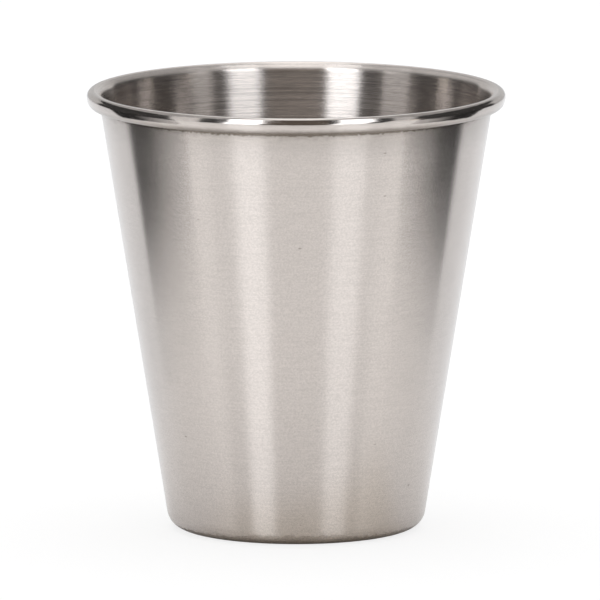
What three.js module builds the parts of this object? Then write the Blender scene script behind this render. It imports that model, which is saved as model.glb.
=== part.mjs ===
// Metal shot glass: a tapered cup drawn from one stainless sheet, with the middle of its base pressed up inside
// a foot ring and its mouth rolled outward into a hollow bead.
// Millimetres, +Z up, origin on the table under the middle of the cup.

import * as THREE from 'three';

// Driving dimensions
const HEIGHT = 54; // table to the top of the rim
const RIM_DIAMETER = 51.2; // across the outside of the bead
const FOOT_DIAMETER = 27.2; // across the flat that the cup stands on
const FOOT_RING_WIDTH = 2.6; // the part of that flat which touches the table
const SHEET = 0.4; // thickness of the steel
const CORNER_RADIUS = 1.85; // inside the cup, between the floor and the wall
const PANEL_RISE = 0.6; // how far the middle of the base is pressed up
const PANEL_BEND_RADIUS = 0.6; // inside radius of both bends round that panel
const LEAD_RADIUS = 0.75; // inside radius where the wall starts to curl, and where the curl ends
const CURL_RADIUS = 0.35; // inside radius at the top and the bottom of the bead's outer face
const CURL_SKIRT = 0.5; // straight part of the bead's outer face
const SEAM_GAP = 0.2; // from the cut edge of the curl to the wall

// Facets
const TURN_FACETS = 72; // round the axis of the cup
const BEND_FACET = THREE.MathUtils.degToRad(18); // the most that one facet of a bend turns

// Directions in the section of the sheet, where x is the distance from the axis and y is the height
const OUTWARD = 0;
const UP = Math.PI / 2;
const DOWN = -Math.PI / 2;

// Sizes that follow from the driving dimensions
const footRadius = FOOT_DIAMETER / 2;
const leadOuter = LEAD_RADIUS + SHEET;
const curlOuter = CURL_RADIUS + SHEET;
const beadCrest = RIM_DIAMETER / 2 - curlOuter;
const beadBottom = HEIGHT - CURL_SKIRT - 2 * curlOuter;

// Centres of the bends, from the foot up and over the rim
const cornerCentre = new THREE.Vector2(footRadius, SHEET + CORNER_RADIUS);
const leadCentre = new THREE.Vector2(beadCrest, HEIGHT - leadOuter);
const shoulderCentre = new THREE.Vector2(beadCrest, HEIGHT - curlOuter);
const tuckCentre = new THREE.Vector2(beadCrest, beadBottom + curlOuter);
const endCentre = new THREE.Vector2(beadCrest, beadBottom + leadOuter);

// The wall is the straight line that touches the inside of the corner bend and the outside of the lead bend.
const taper = wallTaper();
const wallFacing = new THREE.Vector2(Math.cos(taper), -Math.sin(taper));
const wallStart = cornerCentre.clone().addScaledVector(wallFacing, CORNER_RADIUS);

function wallTaper() {
  const span = leadCentre.clone().sub(cornerCentre);
  const lean = Math.atan2(span.x, span.y);
  return lean - Math.asin((CORNER_RADIUS + leadOuter) / span.length());
}

// A point of the wall at a height, on the face towards the drink (depth 0) or on the outside (depth SHEET)
function wallPoint(height, depth) {
  const onInside = wallStart.x + (height - wallStart.y) * Math.tan(taper);
  return new THREE.Vector2(onInside + depth / Math.cos(taper), height);
}

// One face of a bend, as points from one direction to another about its centre
function bend(centre, radius, from, to) {
  const facets = Math.max(1, Math.ceil(Math.abs(to - from) / BEND_FACET));
  const points = [];
  for (let i = 0; i <= facets; i += 1) {
    const angle = from + ((to - from) * i) / facets;
    points.push(new THREE.Vector2(Math.cos(angle), Math.sin(angle)).multiplyScalar(radius).add(centre));
  }
  return points;
}

// Turns a section, which runs anticlockwise, about the axis of the cup.
function revolve(name, section, material) {
  const geometry = new THREE.LatheGeometry(section, TURN_FACETS);
  geometry.rotateX(Math.PI / 2);
  const mesh = new THREE.Mesh(geometry, material);
  mesh.name = name;
  return mesh;
}

function steel(color, roughness) {
  return new THREE.MeshStandardMaterial({ color, roughness, metalness: 1 });
}

// Floor, foot ring and rounded corner
function drawnBase() {
  const ringInner = footRadius - FOOT_RING_WIDTH;
  const bendSpacing = 2 * PANEL_BEND_RADIUS + SHEET;
  const stepTurn = Math.acos(1 - PANEL_RISE / bendSpacing);
  const panelRadius = ringInner - bendSpacing * Math.sin(stepTurn);
  const panelCentre = new THREE.Vector2(panelRadius, PANEL_RISE - PANEL_BEND_RADIUS);
  const ringCentre = new THREE.Vector2(ringInner, PANEL_BEND_RADIUS + SHEET);
  const underside = [
    new THREE.Vector2(0, PANEL_RISE),
    ...bend(panelCentre, PANEL_BEND_RADIUS, UP, UP - stepTurn),
    ...bend(ringCentre, PANEL_BEND_RADIUS + SHEET, DOWN - stepTurn, DOWN).slice(1),
    ...bend(cornerCentre, CORNER_RADIUS + SHEET, DOWN, OUTWARD - taper),
    wallPoint(cornerCentre.y, SHEET),
  ];
  const drinkSide = [
    wallPoint(cornerCentre.y, 0),
    ...bend(cornerCentre, CORNER_RADIUS, OUTWARD - taper, DOWN),
    ...bend(ringCentre, PANEL_BEND_RADIUS, DOWN, DOWN - stepTurn),
    ...bend(panelCentre, PANEL_BEND_RADIUS + SHEET, UP - stepTurn, UP).slice(1),
    new THREE.Vector2(0, PANEL_RISE + SHEET),
  ];
  return revolve('drawn_base', [...underside, ...drinkSide], steel(0xb0a7a1, 0.32));
}

// Straight side, from the top of the corner to the underside of the bead
function taperedWall() {
  const section = [
    wallPoint(cornerCentre.y, SHEET),
    wallPoint(beadBottom, SHEET),
    wallPoint(beadBottom, 0),
    wallPoint(cornerCentre.y, 0),
    wallPoint(cornerCentre.y, SHEET),
  ];
  return revolve('tapered_wall', section, steel(0xc8c0bb, 0.38));
}

// Mouth of the cup, rolled outward and down, with the cut edge tucked up beside the wall
function rolledRim() {
  const edgeToWall = endCentre.clone().sub(wallPoint(endCentre.y, SHEET)).dot(wallFacing) - SEAM_GAP;
  const endTurn = taper + Math.asin(edgeToWall / leadOuter);
  const leadStart = Math.PI - taper;
  const hollowSide = [
    wallPoint(beadBottom, SHEET),
    ...bend(leadCentre, LEAD_RADIUS, leadStart, UP),
    ...bend(shoulderCentre, CURL_RADIUS, UP, OUTWARD).slice(1),
    ...bend(tuckCentre, CURL_RADIUS, OUTWARD, DOWN),
    ...bend(endCentre, LEAD_RADIUS, DOWN, DOWN - endTurn).slice(1),
  ];
  const outerSide = [
    ...bend(endCentre, leadOuter, DOWN - endTurn, DOWN),
    ...bend(tuckCentre, curlOuter, DOWN, OUTWARD).slice(1),
    ...bend(shoulderCentre, curlOuter, OUTWARD, UP),
    ...bend(leadCentre, leadOuter, UP, leadStart).slice(1),
    wallPoint(beadBottom, 0),
  ];
  const section = [...hollowSide, ...outerSide, wallPoint(beadBottom, SHEET)];
  return revolve('rolled_rim', section, steel(0xd2ccc8, 0.14));
}

const shotGlass = new THREE.Group();
shotGlass.add(drawnBase(), taperedWall(), rolledRim());

export default shotGlass;
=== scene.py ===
"""Looks of a metal shot glass: a tapered cup drawn from one stainless sheet, with a brushed wall, a polished
rolled rim and a pressed base. Metres, +Z up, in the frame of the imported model."""
import math

import bpy
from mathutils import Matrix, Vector

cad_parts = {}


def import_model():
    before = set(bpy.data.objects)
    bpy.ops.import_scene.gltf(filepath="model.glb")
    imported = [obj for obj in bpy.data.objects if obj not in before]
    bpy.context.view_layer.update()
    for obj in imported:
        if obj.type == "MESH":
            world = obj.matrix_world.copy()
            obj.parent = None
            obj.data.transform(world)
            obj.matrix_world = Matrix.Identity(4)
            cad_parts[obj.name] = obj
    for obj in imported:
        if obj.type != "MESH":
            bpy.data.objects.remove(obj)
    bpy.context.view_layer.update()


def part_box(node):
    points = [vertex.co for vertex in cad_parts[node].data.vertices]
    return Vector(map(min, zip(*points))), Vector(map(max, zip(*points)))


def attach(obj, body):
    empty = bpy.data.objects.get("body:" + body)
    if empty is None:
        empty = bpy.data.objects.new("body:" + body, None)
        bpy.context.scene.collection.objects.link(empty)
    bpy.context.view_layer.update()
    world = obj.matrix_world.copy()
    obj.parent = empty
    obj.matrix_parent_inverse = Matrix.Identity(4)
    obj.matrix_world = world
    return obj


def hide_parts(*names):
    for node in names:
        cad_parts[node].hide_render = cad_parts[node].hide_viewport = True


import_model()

MM = 0.001

# Sizes of the sheet and its bends
SHEET = 0.4 * MM
FOOT_RADIUS = 13.6 * MM
FOOT_RING_WIDTH = 2.6 * MM
CORNER_RADIUS = 1.85 * MM
PANEL_RISE = 0.6 * MM
PANEL_BEND_RADIUS = 0.6 * MM
LEAD_RADIUS = 0.75 * MM
CURL_RADIUS = 0.35 * MM
LEAD_OUTER = LEAD_RADIUS + SHEET
CURL_OUTER = CURL_RADIUS + SHEET
SEAM_GAP = 0.2 * MM

# Sizes read from the frame
rim_low, rim_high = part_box("rolled_rim")
HEIGHT = rim_high.z
BEAD_BOTTOM = rim_low.z
BEAD_CREST = rim_high.x - CURL_OUTER

# Facets
TURN_FACETS = 360
BEND_FACET = math.radians(6)
WALL_ROWS = 48
SHARP_ANGLE = math.radians(35)

# Directions in the section of the sheet, where x is the distance from the axis and y is the height
OUTWARD = 0.0
UP = math.pi / 2
DOWN = -math.pi / 2

# Faces of the sheet
OUTSIDE = 0
DRINK_SIDE = 1


# Section of the sheet
def point_about(centre, radius, angle):
    return (centre[0] + radius * math.cos(angle), centre[1] + radius * math.sin(angle))


def bend(centre, radius, start, end):
    """One face of a bend, as points from one direction to another about its centre."""
    count = max(1, math.ceil(abs(end - start) / BEND_FACET))
    return [point_about(centre, radius, start + (end - start) * i / count) for i in range(count + 1)]


def oval_bend(centre, width, height, start, end):
    """One face of a bend that is higher than it is wide."""
    points = bend((0.0, 0.0), 1.0, start, end)
    return [(centre[0] + width * x, centre[1] + height * y) for x, y in points]


corner_centre = (FOOT_RADIUS, SHEET + CORNER_RADIUS)
lead_centre = (BEAD_CREST, HEIGHT - LEAD_OUTER)
shoulder_centre = (BEAD_CREST, HEIGHT - CURL_OUTER)
tuck_centre = (BEAD_CREST, BEAD_BOTTOM + CURL_OUTER)
end_centre = (BEAD_CREST, BEAD_BOTTOM + LEAD_OUTER)


def wall_taper():
    """Lean of the line that touches the inside of the corner bend and the outside of the lead bend."""
    across = lead_centre[0] - corner_centre[0]
    up = lead_centre[1] - corner_centre[1]
    return math.atan2(across, up) - math.asin((CORNER_RADIUS + LEAD_OUTER) / math.hypot(across, up))


TAPER = wall_taper()


def wall_point(height, depth):
    """A point of the wall, on the face towards the drink (depth 0) or on the outside (depth SHEET)."""
    start = point_about(corner_centre, CORNER_RADIUS, -TAPER)
    return (start[0] + (height - start[1]) * math.tan(TAPER) + depth / math.cos(TAPER), height)


def wall_rows(start, end, depth):
    return [wall_point(start + (end - start) * i / WALL_ROWS, depth) for i in range(WALL_ROWS + 1)]


def base_section():
    ring_inner = FOOT_RADIUS - FOOT_RING_WIDTH
    spacing = 2 * PANEL_BEND_RADIUS + SHEET
    turn = math.acos(1 - PANEL_RISE / spacing)
    panel_centre = (ring_inner - spacing * math.sin(turn), PANEL_RISE - PANEL_BEND_RADIUS)
    ring_centre = (ring_inner, PANEL_BEND_RADIUS + SHEET)
    underside = [(0.0, PANEL_RISE)]
    underside += bend(panel_centre, PANEL_BEND_RADIUS, UP, UP - turn)
    underside += bend(ring_centre, PANEL_BEND_RADIUS + SHEET, DOWN - turn, DOWN)[1:]
    underside += bend(corner_centre, CORNER_RADIUS + SHEET, DOWN, OUTWARD - TAPER)
    underside += [wall_point(corner_centre[1], SHEET)]
    drink_side = [wall_point(corner_centre[1], 0)]
    drink_side += bend(corner_centre, CORNER_RADIUS, OUTWARD - TAPER, DOWN)
    drink_side += bend(ring_centre, PANEL_BEND_RADIUS, DOWN, DOWN - turn)
    drink_side += bend(panel_centre, PANEL_BEND_RADIUS + SHEET, UP - turn, UP)[1:]
    drink_side += [(0.0, PANEL_RISE + SHEET)]
    return underside, drink_side


def wall_section():
    outside = wall_rows(corner_centre[1], BEAD_BOTTOM, SHEET)
    drink_side = wall_rows(BEAD_BOTTOM, corner_centre[1], 0)
    return outside, drink_side


def rim_section():
    facing = Vector((math.cos(TAPER), -math.sin(TAPER)))
    beside = Vector(end_centre) - Vector(wall_point(end_centre[1], SHEET))
    end_turn = TAPER + math.asin((beside.dot(facing) - SEAM_GAP) / LEAD_OUTER)
    lead_start = math.pi - TAPER
    outside = [wall_point(BEAD_BOTTOM, SHEET)]
    outside += bend(lead_centre, LEAD_RADIUS, lead_start, UP)
    outside += bend(shoulder_centre, CURL_RADIUS, UP, OUTWARD)[1:]
    outside += bend(tuck_centre, CURL_RADIUS, OUTWARD, DOWN)
    outside += bend(end_centre, LEAD_RADIUS, DOWN, DOWN - end_turn)[1:]
    outside += bend(end_centre, LEAD_OUTER, DOWN - end_turn, DOWN)
    outside += oval_bend(shoulder_centre, CURL_OUTER, shoulder_centre[1] - BEAD_BOTTOM, DOWN, OUTWARD)[1:]
    outside += bend(shoulder_centre, CURL_OUTER, OUTWARD, UP)[1:]
    drink_side = bend(lead_centre, LEAD_OUTER, UP, lead_start)[1:]
    drink_side += [wall_point(BEAD_BOTTOM, 0)]
    return outside, drink_side


# Meshes
def ring_of(verts, radius, height):
    """Adds the vertices of one turn of a point and returns their numbers; on the axis there is only one."""
    first = len(verts)
    if radius == 0.0:
        verts.append((0.0, 0.0, height))
        return [first] * (TURN_FACETS + 1)
    for i in range(TURN_FACETS):
        angle = 2 * math.pi * i / TURN_FACETS
        verts.append((radius * math.cos(angle), radius * math.sin(angle), height))
    return [first + i % TURN_FACETS for i in range(TURN_FACETS + 1)]


def lengths_along(profile):
    """How far each point lies along the profile, from 0 at its start to 1 at its end."""
    steps = [math.dist(a, b) for a, b in zip(profile, profile[1:])]
    total = sum(steps)
    return [sum(steps[:i]) / total for i in range(len(profile))]


def revolve(name, section):
    """A closed mesh: the section's outside points, then its drink side, turned about the axis."""
    outside, drink_side = section
    profile = outside + drink_side
    if profile[0][0] > 0.0:
        profile.append(profile[0])
    along = lengths_along(profile)
    verts, faces, sides, places = [], [], [], []
    rings = [ring_of(verts, radius, height) for radius, height in profile]
    if profile[0] == profile[-1]:
        rings[-1] = rings[0]
    for j in range(len(profile) - 1):
        for i in range(TURN_FACETS):
            corners = {}
            for row, turn in ((j, i), (j, i + 1), (j + 1, i + 1), (j + 1, i)):
                corners.setdefault(rings[row][turn], (turn / TURN_FACETS, along[row]))
            faces.append(tuple(corners))
            places.extend(corners.values())
            sides.append(OUTSIDE if j < len(outside) else DRINK_SIDE)
    mesh = bpy.data.meshes.new(name)
    mesh.from_pydata(verts, [], faces)
    mesh.polygons.foreach_set("material_index", sides)
    bake_map = mesh.uv_layers.new(name="OFBake")
    bake_map.data.foreach_set("uv", [number for place in places for number in place])
    mesh.shade_smooth()
    mesh.set_sharp_from_angle(angle=SHARP_ANGLE)
    piece = bpy.data.objects.new(name, mesh)
    bpy.context.scene.collection.objects.link(piece)
    return piece


# Shader nodes
NOISE_MIDDLE = 0.5


class Shader:
    """A tree of shader nodes, built up one node at a time."""

    def __init__(self, tree):
        self.tree = tree
        tree.nodes.clear()

    def add(self, kind, settings=None, **inputs):
        node = self.tree.nodes.new("ShaderNode" + kind)
        for key, value in (settings or {}).items():
            setattr(node, key, value)
        for key, value in inputs.items():
            self.feed(node.inputs[key.replace("_", " ")], value)
        return node

    def feed(self, socket, value):
        if isinstance(value, bpy.types.NodeSocket):
            self.tree.links.new(value, socket)
        else:
            socket.default_value = value

    def feed_all(self, node, *values):
        """Feeds a node's inputs in their order."""
        for socket, value in zip(node.inputs, values):
            self.feed(socket, value)
        return node

    def math(self, operation, *values):
        node = self.add("Math", {"operation": operation})
        return self.feed_all(node, *values).outputs["Value"]

    def times(self, first, second):
        return self.math("MULTIPLY", first, second)

    def together(self, first, second, share):
        """Two textures as one, with this share of the first."""
        return self.math("MULTIPLY_ADD", first, share, self.times(second, 1 - share))

    def blend(self, amount, first, second):
        """One colour where the amount is 0 and another where it is 1."""
        node = self.add("MixRGB", Fac=amount, Color1=first, Color2=second)
        return node.outputs["Color"]

    def mix(self, amount, first, second):
        """One finish where the amount is 0 and another where it is 1."""
        return self.feed_all(self.add("MixShader"), amount, first, second).outputs["Shader"]

    def ramp(self, value, low, high, bottom=0.0, top=1.0):
        """Brings a value from low..high to bottom..top with soft ends."""
        limits = {"From_Min": low, "From_Max": high, "To_Min": bottom, "To_Max": top}
        node = self.add("MapRange", {"interpolation_type": "SMOOTHSTEP"}, Value=value, **limits)
        return node.outputs["Result"]

    def swing(self, noise, reach, bottom=0.0, top=1.0):
        """Brings noise within this reach of its middle to bottom..top."""
        return self.ramp(noise, NOISE_MIDDLE - reach, NOISE_MIDDLE + reach, bottom, top)

    def place(self):
        return self.add("TexCoord").outputs["Object"]

    def parts(self):
        """The X, Y and Z of the place."""
        return self.add("SeparateXYZ", Vector=self.place()).outputs

    def height(self):
        return self.parts()["Z"]

    def aside(self):
        """How far the place lies to the left or right of the axis."""
        return self.math("ABSOLUTE", self.parts()["X"])

    def streaks(self, length, width, detail=2.0):
        """Noise drawn out round the axis, as brushing on a turning cup leaves it."""
        parts = self.parts()
        squares = [self.math("POWER", parts[axis], 2.0) for axis in ("X", "Y")]
        radius = self.math("SQRT", self.math("ADD", *squares))
        along = self.math("ADD", parts["Z"], radius)
        bent = self.add("CombineXYZ", X=parts["X"], Y=parts["Y"], Z=along).outputs["Vector"]
        scale = (1 / length, 1 / length, 1 / width)
        drawn = self.add("Mapping", Vector=bent, Scale=scale).outputs["Vector"]
        return self.add("TexNoise", Vector=drawn, Scale=1.0, Detail=detail).outputs["Fac"]

    def grain(self, size, detail=2.0):
        return self.add("TexNoise", Vector=self.place(), Scale=1 / size, Detail=detail).outputs["Fac"]

    def ragged_height(self, size, reach):
        """The height, pushed up and down by noise."""
        push = self.math("SUBTRACT", self.grain(size, detail=3.0), NOISE_MIDDLE)
        return self.math("MULTIPLY_ADD", push, reach, self.height())

    def pits(self, spacing, size, length):
        """Small marks strewn over the surface, each drawn out round the axis."""
        scale = (size / length, size / length, 1.0)
        drawn = self.add("Mapping", Vector=self.place(), Scale=scale).outputs["Vector"]
        near = self.add("TexVoronoi", Vector=drawn, Scale=1 / spacing).outputs["Distance"]
        edge = size / spacing
        return self.ramp(near, edge / 2, edge, bottom=1.0, top=0.0)

    def surface(self, finish):
        output = self.add("OutputMaterial")
        self.tree.links.new(finish, output.inputs["Surface"])


def material(name):
    """A new material and its shader nodes."""
    made = bpy.data.materials.new(name)
    made.use_nodes = True
    return made, Shader(made.node_tree)


def shade(colour, factor):
    return tuple(channel * factor for channel in colour[:3]) + (1.0,)


# Steel, what lies on it, and the shade painted on it
STEEL = (0.62, 0.57, 0.537, 1.0)
STEEL_WARM = (0.535, 0.48, 0.438, 1.0)
# Painted shade for the top of the wall, and for coarser streaks close under the bead
STEEL_SHADED = shade(STEEL, 0.66)
STEEL_COARSE_SHADED = shade(STEEL, 0.72)
# Painted shade under the bead
UNDER_BEAD_SHADE_COLOUR = shade(STEEL_WARM, 0.5)
# Grime, also used as painted shade in the seam and under the curl
GRIME_AND_SHADE = (0.16, 0.135, 0.11, 1.0)
# Share of warm painted shade close under the bead
WARM_SHADE_SHARE = 0.35
PIT_SHARE = 0.5
# More roughness where grime and painted shade lie under the curl
UNDER_CURL_ROUGHNESS = 0.15
BEND_SMOOTHING = 0.03
ROUND_THE_AXIS = 0.25

# How deep the relief of each finish is
BRUSH_RELIEF = 0.001 * MM
SATIN_RELIEF = 0.005 * MM
RIM_RELIEF = 0.02 * MM

# How far noise counts on either side of its middle
WIDE_SWING = 0.2
MEDIUM_SWING = 0.18
NARROW_SWING = 0.15


def steel(shader, colour, roughness, anisotropy, relief, relief_height):
    tangent = shader.add("Tangent", {"direction_type": "RADIAL", "axis": "Z"})
    bump = shader.add("Bump", Strength=1.0, Distance=relief_height, Height=relief)
    metal = shader.add(
        "BsdfPrincipled",
        Base_Color=colour,
        Metallic=1.0,
        Roughness=roughness,
        Anisotropic=anisotropy,
        Anisotropic_Rotation=ROUND_THE_AXIS,
        Tangent=tangent.outputs["Tangent"],
        Normal=bump.outputs["Normal"],
    )
    shader.surface(metal.outputs["BSDF"])


def grained(shader, amount, colour, dark, light):
    """A colour that a texture makes darker and lighter."""
    return shader.blend(amount, shade(colour, dark), shade(colour, light))


def brushing(shader):
    """Faint straight lines round the axis among fine specks."""
    streak = shader.streaks(length=3 * MM, width=0.16 * MM, detail=1.0)
    speck = shader.grain(size=0.2 * MM, detail=1.0)
    return shader.together(streak, speck, share=0.3)


def brushed_tone(shader, texture):
    return grained(shader, shader.swing(texture, WIDE_SWING), STEEL, dark=0.9, light=1.1)


def towards_bead(shader, height, start, end, top=1.0):
    """Grows from nothing at one depth under the bead to its full amount at another."""
    return shader.ramp(height, BEAD_BOTTOM - start, BEAD_BOTTOM - end, 0.0, top)


def shaded_under_bead(shader, tone):
    """Painted shade atop the wall, most on the right; warmer painted shade and coarser streaks close under
    the bead.
    """
    painted_shade = towards_bead(shader, shader.height(), start=4.5 * MM, end=1 * MM)
    to_the_right = shader.ramp(shader.parts()["X"], low=-8 * MM, high=10 * MM, bottom=0.2, top=0.42)
    tone = shader.blend(shader.times(painted_shade, to_the_right), tone, STEEL_SHADED)
    close = towards_bead(shader, shader.height(), start=2.5 * MM, end=0)
    tone = shader.blend(shader.times(close, WARM_SHADE_SHARE), tone, STEEL_WARM)
    coarse = shader.streaks(length=2.5 * MM, width=0.3 * MM)
    streaked = shader.ramp(coarse, low=0.4, high=0.65, bottom=0.0, top=0.4)
    return shader.blend(shader.times(close, streaked), tone, STEEL_COARSE_SHADED)


def shade_and_grime_in_seam(shader, tone):
    """Painted shade under the bead, and a thin ragged line of grime and painted crease shade where the bead
    meets the wall.
    """
    shade_height = shader.ragged_height(size=0.8 * MM, reach=1.2 * MM)
    under_bead_shade = towards_bead(shader, shade_height, start=1.0 * MM, end=0.3 * MM, top=0.35)
    tone = shader.blend(under_bead_shade, tone, UNDER_BEAD_SHADE_COLOUR)
    seam_height = shader.ragged_height(size=0.35 * MM, reach=0.7 * MM)
    seam = towards_bead(shader, seam_height, start=0.46 * MM, end=0.24 * MM, top=0.92)
    return shader.blend(seam, tone, GRIME_AND_SHADE)


def brushed_outside():
    """Fine short brushing, grainier and with painted shade under the bead, grime and painted shade in the
    seam, and a few small pits.
    """
    made, shader = material("brushed_outside")
    texture = brushing(shader)
    # Painted shade under the bead
    tone = shaded_under_bead(shader, brushed_tone(shader, texture))
    # Painted shade and grime in the seam
    tone = shade_and_grime_in_seam(shader, tone)
    pits = shader.pits(spacing=3.0 * MM, size=0.14 * MM, length=0.3 * MM)
    tone = shader.blend(shader.times(pits, PIT_SHARE), tone, GRIME_AND_SHADE)
    cloudy = shader.swing(shader.grain(size=9 * MM), WIDE_SWING, bottom=0.215, top=0.235)
    uneven = shader.swing(texture, WIDE_SWING, bottom=-0.01, top=0.01)
    roughness = shader.math("ADD", cloudy, uneven)
    steel(shader, tone, roughness, anisotropy=0.83, relief=texture, relief_height=BRUSH_RELIEF)
    return made


def satin_inside():
    """Long fine lines left by drawing, one beside the other, and a smoother bend into the rim made lighter
    as a painted highlight.
    """
    made, shader = material("satin_inside")
    line = shader.streaks(length=16 * MM, width=0.13 * MM, detail=1.0)
    fleck = shader.streaks(length=1.2 * MM, width=0.13 * MM)
    texture = shader.together(line, fleck, share=0.55)
    drawn = shader.swing(texture, MEDIUM_SWING)
    wall_tone = grained(shader, drawn, STEEL, dark=0.77, light=1.12)
    # A lighter copy of the steel on the bend into the rim: a painted highlight
    bend_highlight_tone = grained(shader, drawn, STEEL, dark=1.05, light=1.3)
    lead_in = shader.ramp(shader.height(), low=lead_centre[1], high=lead_centre[1] + 0.5 * MM)
    tone = shader.blend(lead_in, wall_tone, bend_highlight_tone)
    roughness = shader.swing(texture, WIDE_SWING, bottom=0.23, top=0.27)
    roughness = shader.math("MULTIPLY_ADD", lead_in, -BEND_SMOOTHING, roughness)
    steel(shader, tone, roughness, anisotropy=1.0, relief=texture, relief_height=SATIN_RELIEF)
    return made


def grime_and_shade_under_curl(shader):
    """How much grime and painted shade lie where the curl turns under: most in front and behind, less at the
    sides.
    """
    height = shader.ragged_height(size=0.6 * MM, reach=0.25 * MM)
    start = BEAD_BOTTOM + 0.15 * MM
    end = BEAD_BOTTOM + 0.85 * MM
    under = shader.ramp(height, start, end, bottom=1.0, top=0.0)
    less_aside = shader.ramp(shader.aside(), low=12 * MM, high=22 * MM, bottom=0.72, top=0.45)
    return shader.times(under, less_aside)


def polished_rim():
    """Near mirror, a little uneven, with grime and painted shade where the curl turns under."""
    made, shader = material("polished_rim")
    wave = shader.streaks(length=4 * MM, width=0.8 * MM)
    fine = shader.streaks(length=1.2 * MM, width=0.12 * MM)
    # Grime and painted shade under the curl
    under = grime_and_shade_under_curl(shader)
    tone = grained(shader, shader.swing(fine, NARROW_SWING), STEEL, dark=0.94, light=1.05)
    tone = shader.blend(under, tone, GRIME_AND_SHADE)
    polish = shader.swing(fine, WIDE_SWING, bottom=0.1, top=0.15)
    roughness = shader.math("ADD", polish, shader.times(under, UNDER_CURL_ROUGHNESS))
    steel(shader, tone, roughness, anisotropy=0.3, relief=wave, relief_height=RIM_RELIEF)
    return made


def satin_base():
    """The wall's brushing runs out in a ragged line part way round the corner, lower down at the sides.
    Below the line the sheet is unbrushed, darker and warmer; the darkening is partly painted shade near the
    floor."""
    made, shader = material("satin_base")
    texture = brushing(shader)
    # Darker, warmer steel below the brushing, partly painted shade near the floor
    plain_and_shaded = grained(shader, shader.swing(texture, WIDE_SWING), STEEL_WARM, dark=0.76, light=1.06)
    lift = shader.ramp(shader.aside(), low=5 * MM, high=8.5 * MM, bottom=0.0, top=0.5 * MM)
    level = shader.math("ADD", shader.ragged_height(size=0.7 * MM, reach=1.0 * MM), lift)
    edge = shader.ramp(level, low=1.1 * MM, high=1.45 * MM)
    tone = shader.blend(edge, plain_and_shaded, brushed_tone(shader, texture))
    roughness = shader.ramp(edge, low=0.0, high=1.0, bottom=0.3, top=0.25)
    steel(shader, tone, roughness, anisotropy=0.8, relief=texture, relief_height=BRUSH_RELIEF)
    return made


# Camera, far off and looking a little down
CAMERA_DISTANCE = 1.862
CAMERA_ELEVATION = math.radians(8.89)
CAMERA_LENS = 912.0
CAMERA_SENSOR = 36.0
CAMERA_REACH = 100.0
CAMERA_AIM = Vector((0.47 * MM, 0.0, 27.97 * MM))
TO_CAMERA = Vector((0.0, -math.cos(CAMERA_ELEVATION), math.sin(CAMERA_ELEVATION)))


def camera():
    data = bpy.data.cameras.new("camera")
    data.lens = CAMERA_LENS
    data.sensor_width = CAMERA_SENSOR
    data.clip_end = CAMERA_REACH
    view = bpy.data.objects.new("camera", data)
    view.location = CAMERA_AIM + TO_CAMERA * CAMERA_DISTANCE
    view.rotation_euler = (math.pi / 2 - CAMERA_ELEVATION, 0.0, 0.0)
    bpy.context.scene.collection.objects.link(view)
    bpy.context.scene.camera = view


def stage_object(name, verts, faces, made):
    mesh = bpy.data.meshes.new(name)
    mesh.from_pydata(verts, [], faces)
    mesh.materials.append(made)
    thing = bpy.data.objects.new(name, mesh)
    bpy.context.scene.collection.objects.link(thing)
    return thing


# Floor
FLOOR_RADIUS = 4.0
FLOOR_FACETS = 96
FLOOR_GAP = 0.02 * MM
FLOOR_LAP = 0.2 * MM
FLOOR_COLOUR = (0.86, 0.86, 0.86, 1.0)
FLOOR_BACK = (0.74, 0.755, 0.775, 1.0)
FLOOR_GLOSS = (0.1, 0.1, 0.1, 1.0)
GLOSS_ROUGHNESS = 0.15
FLOOR_GLOW = 1.04
FLOOR_GLOW_SHARE = 0.78

# Painted warm shadow on the floor, seen only in the cup's reflections, wider than it is deep; its centre is
# given after the squeeze
SHADOW_PATCH_COLOUR = (0.77, 0.74, 0.69, 1.0)
SHADOW_PATCH_SQUEEZE = (0.42, 1.0, 1.0)
SHADOW_PATCH_CENTRE = (3 * MM, -FOOT_RADIUS - 4 * MM, 0.0)


def floor_tone(shader):
    """Cooler behind the cup, with a painted warm shadow close before its foot."""
    behind = shader.ramp(shader.parts()["Y"], low=-20 * MM, high=60 * MM)
    tone = shader.blend(behind, FLOOR_COLOUR, FLOOR_BACK)
    squeezed = shader.add("Mapping", Vector=shader.place(), Scale=SHADOW_PATCH_SQUEEZE).outputs["Vector"]
    away = shader.add("VectorMath", {"operation": "DISTANCE"})
    distance = shader.feed_all(away, squeezed, SHADOW_PATCH_CENTRE).outputs["Value"]
    # Painted warm shadow on the floor, seen in the cup's reflections
    painted_shadow = shader.ramp(distance, low=5 * MM, high=14 * MM, bottom=1.0, top=0.0)
    return shader.blend(painted_shadow, tone, SHADOW_PATCH_COLOUR)


def floor_material():
    """White to the camera, with the cup's soft shadow; a glossy pale sheet to the cup; clear from below."""
    made, shader = material("floor")
    matt = shader.add("BsdfDiffuse", Color=FLOOR_COLOUR).outputs["BSDF"]
    toned = shader.add("BsdfDiffuse", Color=floor_tone(shader)).outputs["BSDF"]
    white = shader.add("Emission", Strength=FLOOR_GLOW).outputs["Emission"]
    gloss = shader.add("BsdfAnisotropic", Color=FLOOR_GLOSS, Roughness=GLOSS_ROUGHNESS).outputs["BSDF"]
    clear = shader.add("BsdfTransparent").outputs["BSDF"]
    sheet = shader.feed_all(shader.add("AddShader"), toned, gloss).outputs["Shader"]
    shown = shader.mix(FLOOR_GLOW_SHARE, matt, white)
    top = shader.mix(shader.add("LightPath").outputs["Is Camera Ray"], sheet, shown)
    shader.surface(shader.mix(shader.add("NewGeometry").outputs["Backfacing"], top, clear))
    return made


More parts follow.
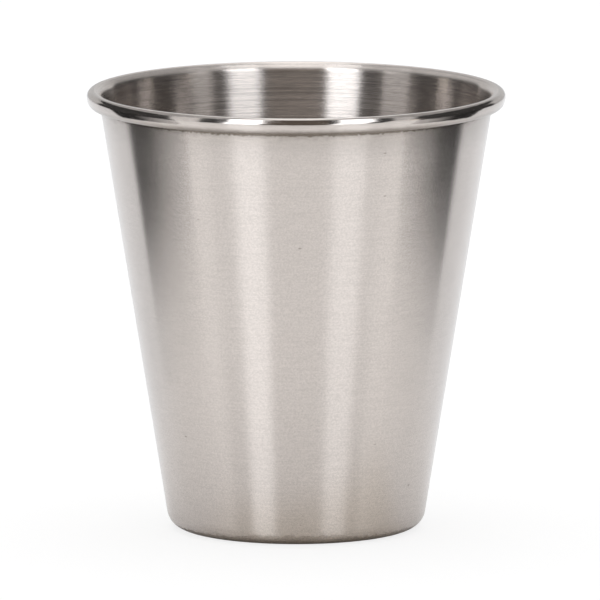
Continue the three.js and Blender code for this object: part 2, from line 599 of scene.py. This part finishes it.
def floor():
    """A wide flat ring: it is open under the foot, where only the underside of the cup could see it."""
    verts = []
    for radius in (FLOOR_RADIUS, FOOT_RADIUS - FLOOR_LAP):
        for i in range(FLOOR_FACETS):
            turn = 2 * math.pi * i / FLOOR_FACETS
            verts.append((radius * math.cos(turn), radius * math.sin(turn), -FLOOR_GAP))
    faces = []
    for i in range(FLOOR_FACETS):
        following = (i + 1) % FLOOR_FACETS
        faces.append((i, following, FLOOR_FACETS + following, FLOOR_FACETS + i))
    stage_object("floor", verts, faces, floor_material())


# Boards round the cup that only its reflections show
GLOW = "glow"
DARK = 0.05
FLAG = 0.03
FLAG_NEAR = 0.72
SHADE_NEAR = 0.06
ROOM = (0.13, 0.11, 0.094)
NEUTRAL = (1.0, 1.0, 1.0)
COOL = (0.97, 1.0, 1.035)
BEIGE = (1.0, 0.93, 0.85)

# Where the boards stand
BOARD_DISTANCE = 1.2
FLAG_DISTANCE = 0.111
SHADE_INSET = 0.98
OVERHEAD_GAP = 40 * MM

# Rises, lean and edges of the arched boards, in degrees
LOW = 3.5
LIP = 52.0
SIDE = 15.0
SIDE_LOW = 9.0
LEAN_START = 9.0
LEAN_REACH = 6.0
FRONT_EDGE = 9.0
SOFT_EDGE = 0.4

# How finely the arched boards are divided, and how bright their soft edges are
BOARD_ROWS = 12
INNER_COLUMNS = 4
SOFT_EDGE_SHARE = 0.1


def board_material():
    made, shader = material("board")
    glow = shader.add("Attribute", {"attribute_name": GLOW}).outputs["Color"]
    shader.surface(shader.add("Emission", Color=glow).outputs["Emission"])
    return made


def mirrored(turn, rise):
    """Where the camera's ray goes on to from a spot of the rim that faces this way."""
    facing = Vector((math.sin(turn) * math.cos(rise), -math.cos(turn) * math.cos(rise), math.sin(rise)))
    return 2 * facing.dot(TO_CAMERA) * facing - TO_CAMERA


def arched_place(turn, rise):
    """A place on a board that arches over the cup, so that the rim mirrors its sides upright."""
    place = mirrored(math.radians(turn), math.radians(rise)) * BOARD_DISTANCE
    return (place.x, place.y, max(0.0, place.z + HEIGHT))


def upright_place(turn, height):
    """A place on an upright board close to the cup."""
    angle = math.radians(turn)
    return (FLAG_DISTANCE * math.sin(angle), -FLAG_DISTANCE * math.cos(angle), height)


def shade_place(turn, height):
    """A place just inside the upright boards."""
    x, y, z = upright_place(turn, height)
    return (SHADE_INSET * x, SHADE_INSET * y, z)


def overhead_place(across, back):
    """A place on a level board close over the rim, in millimetres across and back."""
    return (across * MM, back * MM, HEIGHT + OVERHEAD_GAP)


def board(name, made, place, columns, rows, tint=NEUTRAL):
    """A sheet of light: columns are (across, brightness), rows are (along, brightness, lean)."""
    verts, glows = [], []
    for along, level, lean in rows:
        for across, share in columns:
            verts.append(place(across + lean, along))
            glows.append([channel * level * share for channel in tint] + [1.0])
    width = len(columns)
    faces = []
    for j in range(len(rows) - 1):
        for i in range(width - 1):
            corner = j * width + i
            faces.append((corner, corner + 1, corner + width + 1, corner + width))
    thing = stage_object(name, verts, faces, made)
    colours = thing.data.color_attributes.new(GLOW, "FLOAT_COLOR", "POINT")
    for item, glow in zip(colours.data, glows):
        item.color = glow
    thing.visible_camera = False
    thing.visible_diffuse = False
    thing.visible_shadow = False


def soft_edged(start, end):
    """Columns of one brightness that fade at both sides."""
    width = end - start - 2 * SOFT_EDGE
    inner = [(start + SOFT_EDGE + width * i / INNER_COLUMNS, 1.0) for i in range(INNER_COLUMNS + 1)]
    return [(start - SOFT_EDGE, SOFT_EDGE_SHARE)] + inner + [(end + SOFT_EDGE, SOFT_EDGE_SHARE)]


def dark_behind(outer, inner, near, near_level):
    """Columns that are dark behind and fade to another brightness at the edge nearest the camera."""
    return sorted([(outer, FLAG), (inner, FLAG), (near, near_level)])


def leaning_rows(low, high, level, high_level, lean):
    """Rows with another brightness and a sideways lean above the lowest part."""
    rows = []
    for i in range(BOARD_ROWS + 1):
        rise = low + (high - low) * i / BOARD_ROWS
        above = min(1.0, max(0.0, (rise - LEAN_START) / LEAN_REACH))
        rows.append((rise, level + (high_level - level) * above, lean * above))
    return rows


def even_rows(low, high):
    """Two rows of a board that is as bright at one end as at the other."""
    return [(low, 1.0, 0.0), (high, 1.0, 0.0)]


def arched(name, made, start, end, level, high_level=None, lean=0.0, top=LIP, tint=NEUTRAL):
    """A soft-edged board that arches over the cup."""
    rows = leaning_rows(LOW, top, level, high_level or level, lean)
    board(name, made, arched_place, soft_edged(start, end), rows, tint)


def front_board(made):
    """The dark room in front of the cup and over it."""
    columns = [(-FRONT_EDGE, 1.0), (0.0, 1.0), (FRONT_EDGE, 1.0)]
    rows = leaning_rows(LOW, LIP, level=1.0, high_level=1.0, lean=0.0)
    board("front", made, arched_place, columns, rows, ROOM)


def arched_boards(made):
    """Two bright strips with the dark room between them, and grey and beige boards further round."""
    arched("strip_left", made, start=-20.2, end=-10.4, level=2.75, high_level=3.3, lean=1.5, tint=COOL)
    arched("strip_right", made, start=9.6, end=19.6, level=2.15, high_level=2.5, lean=2.2, tint=COOL)
    front_board(made)
    arched("grey_left", made, start=-36.4, end=-27.2, level=0.87)
    arched("grey_right", made, start=25.4, end=32.2, level=1.0, high_level=0.68, lean=2.4)
    arched("far_left", made, start=-52.5, end=-48.2, level=1.45, top=SIDE, tint=BEIGE)
    arched("far_right", made, start=48.6, end=52.0, level=0.85, top=SIDE, tint=BEIGE)
    arched("side_right", made, start=32.4, end=35.6, level=1.4, top=SIDE_LOW, tint=BEIGE)


def upright_boards(made):
    """Flags at both sides, dark shades inside their upper part, and dark cards above them."""
    flag_rows = even_rows(low=2 * MM, high=54 * MM)
    flag_left = dark_behind(outer=-110.5, inner=-90.5, near=-63.0, near_level=FLAG_NEAR)
    flag_right = dark_behind(outer=109.0, inner=89.5, near=63.0, near_level=FLAG_NEAR)
    board("flag_left", made, upright_place, flag_left, flag_rows)
    board("flag_right", made, upright_place, flag_right, flag_rows)
    shade_rows = even_rows(low=39.8 * MM, high=54.2 * MM)
    shade_left = dark_behind(outer=-112.0, inner=-90.0, near=-63.0, near_level=SHADE_NEAR)
    shade_right = dark_behind(outer=112.0, inner=90.0, near=63.0, near_level=SHADE_NEAR)
    board("shade_left", made, shade_place, shade_left, shade_rows)
    board("shade_right", made, shade_place, shade_right, shade_rows)
    lip_rows = even_rows(low=54 * MM, high=110 * MM)
    board("lip_side_left", made, upright_place, [(-98.0, DARK), (-81.0, DARK)], lip_rows)
    board("lip_side_right", made, upright_place, [(81.0, DARK), (98.0, DARK)], lip_rows)


def overhead_boards(made):
    """A pale card over the cup, brightest in the middle, and a dark card on each side of it."""
    left = [(-50.0, 0.45), (-16.0, 0.55)]
    middle = [(-9.0, 0.95), (-5.0, 1.3), (5.0, 1.3), (9.0, 0.95)]
    right = [(16.0, 0.5), (50.0, 0.38)]
    board("overhead", made, overhead_place, left + middle + right, even_rows(low=-20.0, high=24.0))
    dark_rows = even_rows(low=-20.0, high=90.0)
    board("lip_shade_left", made, overhead_place, [(-260.0, DARK), (-55.0, DARK)], dark_rows)
    board("lip_shade_right", made, overhead_place, [(55.0, DARK), (260.0, DARK)], dark_rows)


def boards():
    made = board_material()
    arched_boards(made)
    upright_boards(made)
    overhead_boards(made)


# Surroundings
WHITE = (1.0, 1.0, 1.0, 1.0)
DOME = (0.5, 0.5, 0.5, 1.0)
DARK_ROOM = (DARK, DARK, DARK, 1.0)
CEILING = (1.3, 1.3, 1.3, 1.0)
BACK = (0.6, 0.6, 0.6, 1.0)
BACK_HIGH_LEFT = (0.64, 0.64, 0.64, 1.0)
BACK_HIGH_RIGHT = (0.42, 0.42, 0.42, 1.0)
BACK_SPREAD = 0.84
LAMP_SIZE = 1.6
LAMP_POWER = 11.6
LAMP_PLACE = (0.0, 0.3, 1.0)


def studio_light(shader):
    """A dark room with a grey back, a bright band over the cup and a grey ground."""
    way = shader.add("SeparateXYZ", Vector=shader.add("TexCoord").outputs["Generated"]).outputs
    aside = shader.math("ABSOLUTE", way["X"])
    behind = shader.math("SUBTRACT", shader.times(way["Y"], BACK_SPREAD), aside)
    studio = shader.blend(shader.ramp(behind, low=-0.03, high=0.06), DARK_ROOM, BACK)
    backward = shader.ramp(way["Y"], low=-0.1, high=0.2)
    upward = shader.ramp(way["Z"], low=0.2, high=0.45)
    above = shader.times(backward, upward)
    high = shader.blend(shader.ramp(way["X"], low=-0.5, high=-0.25), BACK_HIGH_LEFT, BACK_HIGH_RIGHT)
    studio = shader.blend(above, studio, high)
    over_the_cup = shader.ramp(aside, low=0.06, high=0.16, bottom=1.0, top=0.0)
    studio = shader.blend(shader.times(above, over_the_cup), studio, CEILING)
    below = shader.ramp(way["Z"], low=-0.2, high=-0.05, bottom=1.0, top=0.0)
    return shader.blend(below, studio, BACK)


def world():
    """White to the camera, the studio in reflections and an even dome to all else."""
    made = bpy.data.worlds.new("studio")
    made.use_nodes = True
    bpy.context.scene.world = made
    shader = Shader(made.node_tree)
    ray = shader.add("LightPath").outputs
    light = shader.blend(ray["Is Glossy Ray"], DOME, studio_light(shader))
    background = shader.add("Background", Color=shader.blend(ray["Is Camera Ray"], light, WHITE))
    output = shader.add("OutputWorld")
    shader.feed(output.inputs["Surface"], background.outputs["Background"])


def overhead_lamp():
    data = bpy.data.lights.new("overhead", "AREA")
    data.shape = "DISK"
    data.size = LAMP_SIZE
    data.energy = LAMP_POWER
    lamp = bpy.data.objects.new("overhead", data)
    lamp.location = LAMP_PLACE
    lamp.visible_glossy = False
    bpy.context.scene.collection.objects.link(lamp)


# The cup
def dress(piece, node, outside, drink_side):
    """Gives a piece its two finishes, hangs it on the root body and hides the node it stands for."""
    piece.data.materials.append(outside)
    piece.data.materials.append(drink_side)
    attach(piece, "root")
    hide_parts(node)


camera()
floor()
world()
overhead_lamp()
boards()

inside = satin_inside()
dress(revolve("base", base_section()), "drawn_base", satin_base(), inside)
dress(revolve("wall", wall_section()), "tapered_wall", brushed_outside(), inside)
dress(revolve("rim", rim_section()), "rolled_rim", polished_rim(), inside)

bpy.context.scene.view_settings.view_transform = "Standard"
